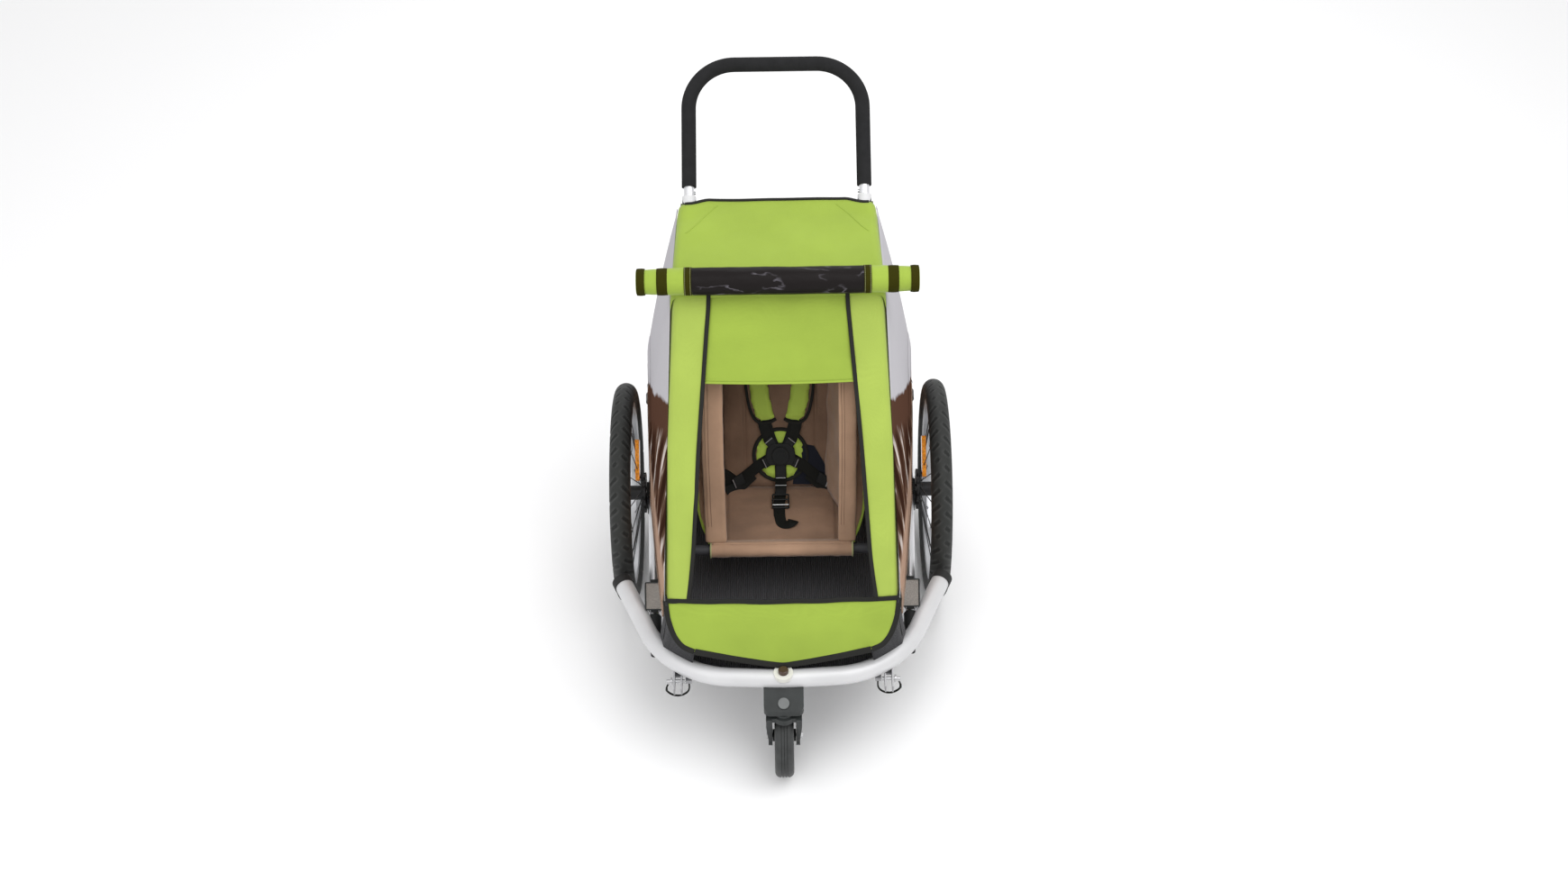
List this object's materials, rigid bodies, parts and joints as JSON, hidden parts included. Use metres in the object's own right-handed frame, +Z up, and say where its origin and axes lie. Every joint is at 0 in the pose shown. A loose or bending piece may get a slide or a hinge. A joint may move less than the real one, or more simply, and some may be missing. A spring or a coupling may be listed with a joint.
{
  "type": "child bicycle trailer",
  "caption": "Folding child bicycle trailer with spoked wheels, front caster, push handle, tubular frame, reclined sling seat, harness and fabric cabin.",
  "frame": {"origin": "middle of the footprint, on the ground under the trailer", "axes": "+X to the child's right seen from the front as image right, +Y to the rear where the handle is, +Z up"},
  "size_m": [0.732, 1.1394, 1.0739],
  "materials": {
    "satin_silver": "satin anodised",
    "rim_silver": "satin",
    "steel": "bright zinc",
    "black_metal": "satin black coat",
    "dark_tube": "dark grey powder coat",
    "black_plastic": "fine moulded grain",
    "grey_plastic": "smooth",
    "brown_plastic": "gloss",
    "black_rubber": "matt",
    "tyre_rubber": "matt tread",
    "caster_rubber": "matt",
    "black_foam": "closed-cell foam",
    "clear_lens": "prismatic",
    "red_lens": "prismatic",
    "amber_lens": "prismatic",
    "green_fabric": "plain-weave coated polyester",
    "brown_fabric": "plain-weave polyester",
    "seat_fabric": "soft brushed polyester",
    "black_fabric": "coated polyester",
    "black_webbing": "woven webbing",
    "window_film": "tinted clear film"
  },
  "bodies": {
    "chassis": {"front_bow": "satin_silver", "end_caps": "black_rubber", "floor_frame": "satin_silver", "rail_fittings": "black_plastic", "axle_tube": "satin_silver", "axle_blocks": "black_plastic", "hub_bearings": "steel", "wheel_axles": "steel", "frame_screws": "steel", "front_reflectors": "clear_lens", "rear_reflectors": "red_lens", "floor_panel": "black_fabric", "toe_panel": "green_fabric", "hinge_brackets": "black_metal", "hinge_pins": "steel", "hitch_brackets": "steel", "leash_left": "black_webbing", "leash_right": "black_webbing", "bow_centre_plug": "brown_plastic", "caster_housing": "black_plastic", "caster_bearing": "steel", "canopy_walls": "brown_fabric", "seat_sling": "seat_fabric", "harness_straps": "black_webbing"},
    "wheel_left": {"tyre_left": "tyre_rubber", "rim_left": "rim_silver", "spokes_left": "black_metal", "hub_left": "black_metal", "spoke_reflector_left": "amber_lens"},
    "axle_button_left": {"axle_button_left": "grey_plastic"},
    "brake_pin_left": {"brake_pin_left": "steel"},
    "hitch_pin_left": {"hitch_pin_left": "steel"},
    "snap_left": {"snap_button_left": "steel"},
    "wheel_right": {"tyre_right": "tyre_rubber", "rim_right": "rim_silver", "spokes_right": "black_metal", "hub_right": "black_metal", "spoke_reflector_right": "amber_lens"},
    "axle_button_right": {"axle_button_right": "grey_plastic"},
    "brake_pin_right": {"brake_pin_right": "steel"},
    "hitch_pin_right": {"hitch_pin_right": "steel"},
    "snap_right": {"snap_button_right": "steel"},
    "brake_pedal": {"brake_pedal": "black_plastic"},
    "caster_button": {"caster_button": "grey_plastic"},
    "caster_fork": {"caster_fork": "black_plastic", "caster_axle": "steel"},
    "caster_wheel": {"caster_tyre": "caster_rubber", "caster_rim": "black_plastic"},
    "hoop": {"hoop_tubes": "satin_silver", "roof_cross_tubes": "satin_silver", "roof_corners": "black_plastic", "seat_frame": "dark_tube", "canopy_roof": "green_fabric", "cover_roll": "green_fabric"},
    "fold_latch": {"fold_latch": "black_plastic"},
    "rear_strut": {"rear_strut": "satin_silver"},
    "handle": {"handle_tube": "satin_silver", "handle_foam": "black_foam"},
    "buckle": {"harness_buckles": "black_plastic"},
    "buckle_button": {"buckle_button": "black_plastic"}
  },
  "joints": [
    {"name": "wheel_spin_left", "type": "hinge", "parent": "chassis", "child": "wheel_left", "pos_m": [-0.343, 0.07727, 0.246], "axis": [1, 0, 0], "continuous": true},
    {"name": "wheel_spin_right", "type": "hinge", "parent": "chassis", "child": "wheel_right", "pos_m": [0.343, 0.07727, 0.246], "axis": [1, 0, 0], "continuous": true},
    {"name": "axle_release_left", "type": "slide", "parent": "chassis", "child": "axle_button_left", "axis": [1, 0, 0], "range_m": [0, 0.003], "stiffness_N_per_m": 300, "springref_m": -0.002},
    {"name": "axle_release_right", "type": "slide", "parent": "chassis", "child": "axle_button_right", "axis": [-1, 0, 0], "range_m": [0, 0.003], "stiffness_N_per_m": 300, "springref_m": -0.002},
    {"name": "caster_swivel", "type": "hinge", "parent": "chassis", "child": "caster_fork", "pos_m": [0, -0.50673, 0.19], "axis": [0, 0, 1], "continuous": true},
    {"name": "caster_spin", "type": "hinge", "parent": "caster_fork", "child": "caster_wheel", "pos_m": [0, -0.48173, 0.088], "axis": [1, 0, 0], "continuous": true},
    {"name": "caster_release", "type": "slide", "parent": "chassis", "child": "caster_button", "axis": [0, 0.4153, -0.9097], "range_m": [0, 0.003], "stiffness_N_per_m": 300, "springref_m": -0.002},
    {"name": "frame_fold", "type": "hinge", "parent": "chassis", "child": "hoop", "pos_m": [0, -0.36673, 0.38], "axis": [-1, 0, 0], "range_deg": [0, 37.5], "deforming": ["canopy_walls", "seat_sling", "harness_straps"]},
    {"name": "strut_fold", "type": "hinge", "parent": "chassis", "child": "rear_strut", "pos_m": [0, 0.38327, 0.264], "axis": [1, 0, 0], "range_deg": [0, 73.5]},
    {"name": "fold_latch_turn", "type": "hinge", "parent": "hoop", "child": "fold_latch", "pos_m": [0, 0.30327, 0.822], "axis": [-1, 0, 0], "range_deg": [0, 40]},
    {"name": "buckle_drop", "type": "slide", "parent": "chassis", "child": "buckle", "axis": [0, 0, -1], "range_m": [0, 0.12]},
    {"name": "buckle_press", "type": "slide", "parent": "buckle", "child": "buckle_button", "axis": [0, 0.905, -0.4254], "range_m": [0, 0.003], "stiffness_N_per_m": 300, "springref_m": -0.002},
    {"name": "handle_slide", "type": "slide", "parent": "hoop", "child": "handle", "axis": [0, 0.8192, 0.5736], "range_m": [0, 0.06]},
    {"name": "handle_snap_left", "type": "slide", "parent": "handle", "child": "snap_left", "axis": [-1, 0, 0], "range_m": [0, 0.003], "stiffness_N_per_m": 300, "springref_m": -0.002},
    {"name": "handle_snap_right", "type": "slide", "parent": "handle", "child": "snap_right", "axis": [1, 0, 0], "range_m": [0, 0.003], "stiffness_N_per_m": 300, "springref_m": -0.002},
    {"name": "hitch_pin_pull_left", "type": "slide", "parent": "chassis", "child": "hitch_pin_left", "axis": [-1, 0, 0], "range_m": [0, 0.04]},
    {"name": "hitch_pin_pull_right", "type": "slide", "parent": "chassis", "child": "hitch_pin_right", "axis": [1, 0, 0], "range_m": [0, 0.04]},
    {"name": "brake_press", "type": "hinge", "parent": "chassis", "child": "brake_pedal", "pos_m": [0, 0.40727, 0.246], "axis": [-1, 0, 0], "range_deg": [0, 30]},
    {"name": "brake_engage_left", "type": "slide", "parent": "chassis", "child": "brake_pin_left", "axis": [-1, 0, 0], "range_m": [0, 0.0051]},
    {"name": "brake_engage_right", "type": "slide", "parent": "chassis", "child": "brake_pin_right", "axis": [1, 0, 0], "range_m": [0, 0.0051]}
  ],
  "couplings": [
    {"joint": "strut_fold", "follows": "frame_fold", "ratio": 1.938},
    {"joint": "buckle_drop", "follows": "frame_fold", "m_per_rad": 0.168},
    {"joint": "brake_engage_left", "follows": "brake_press", "m_per_rad": 0.0095},
    {"joint": "brake_engage_right", "follows": "brake_press", "m_per_rad": 0.0095}
  ]
}
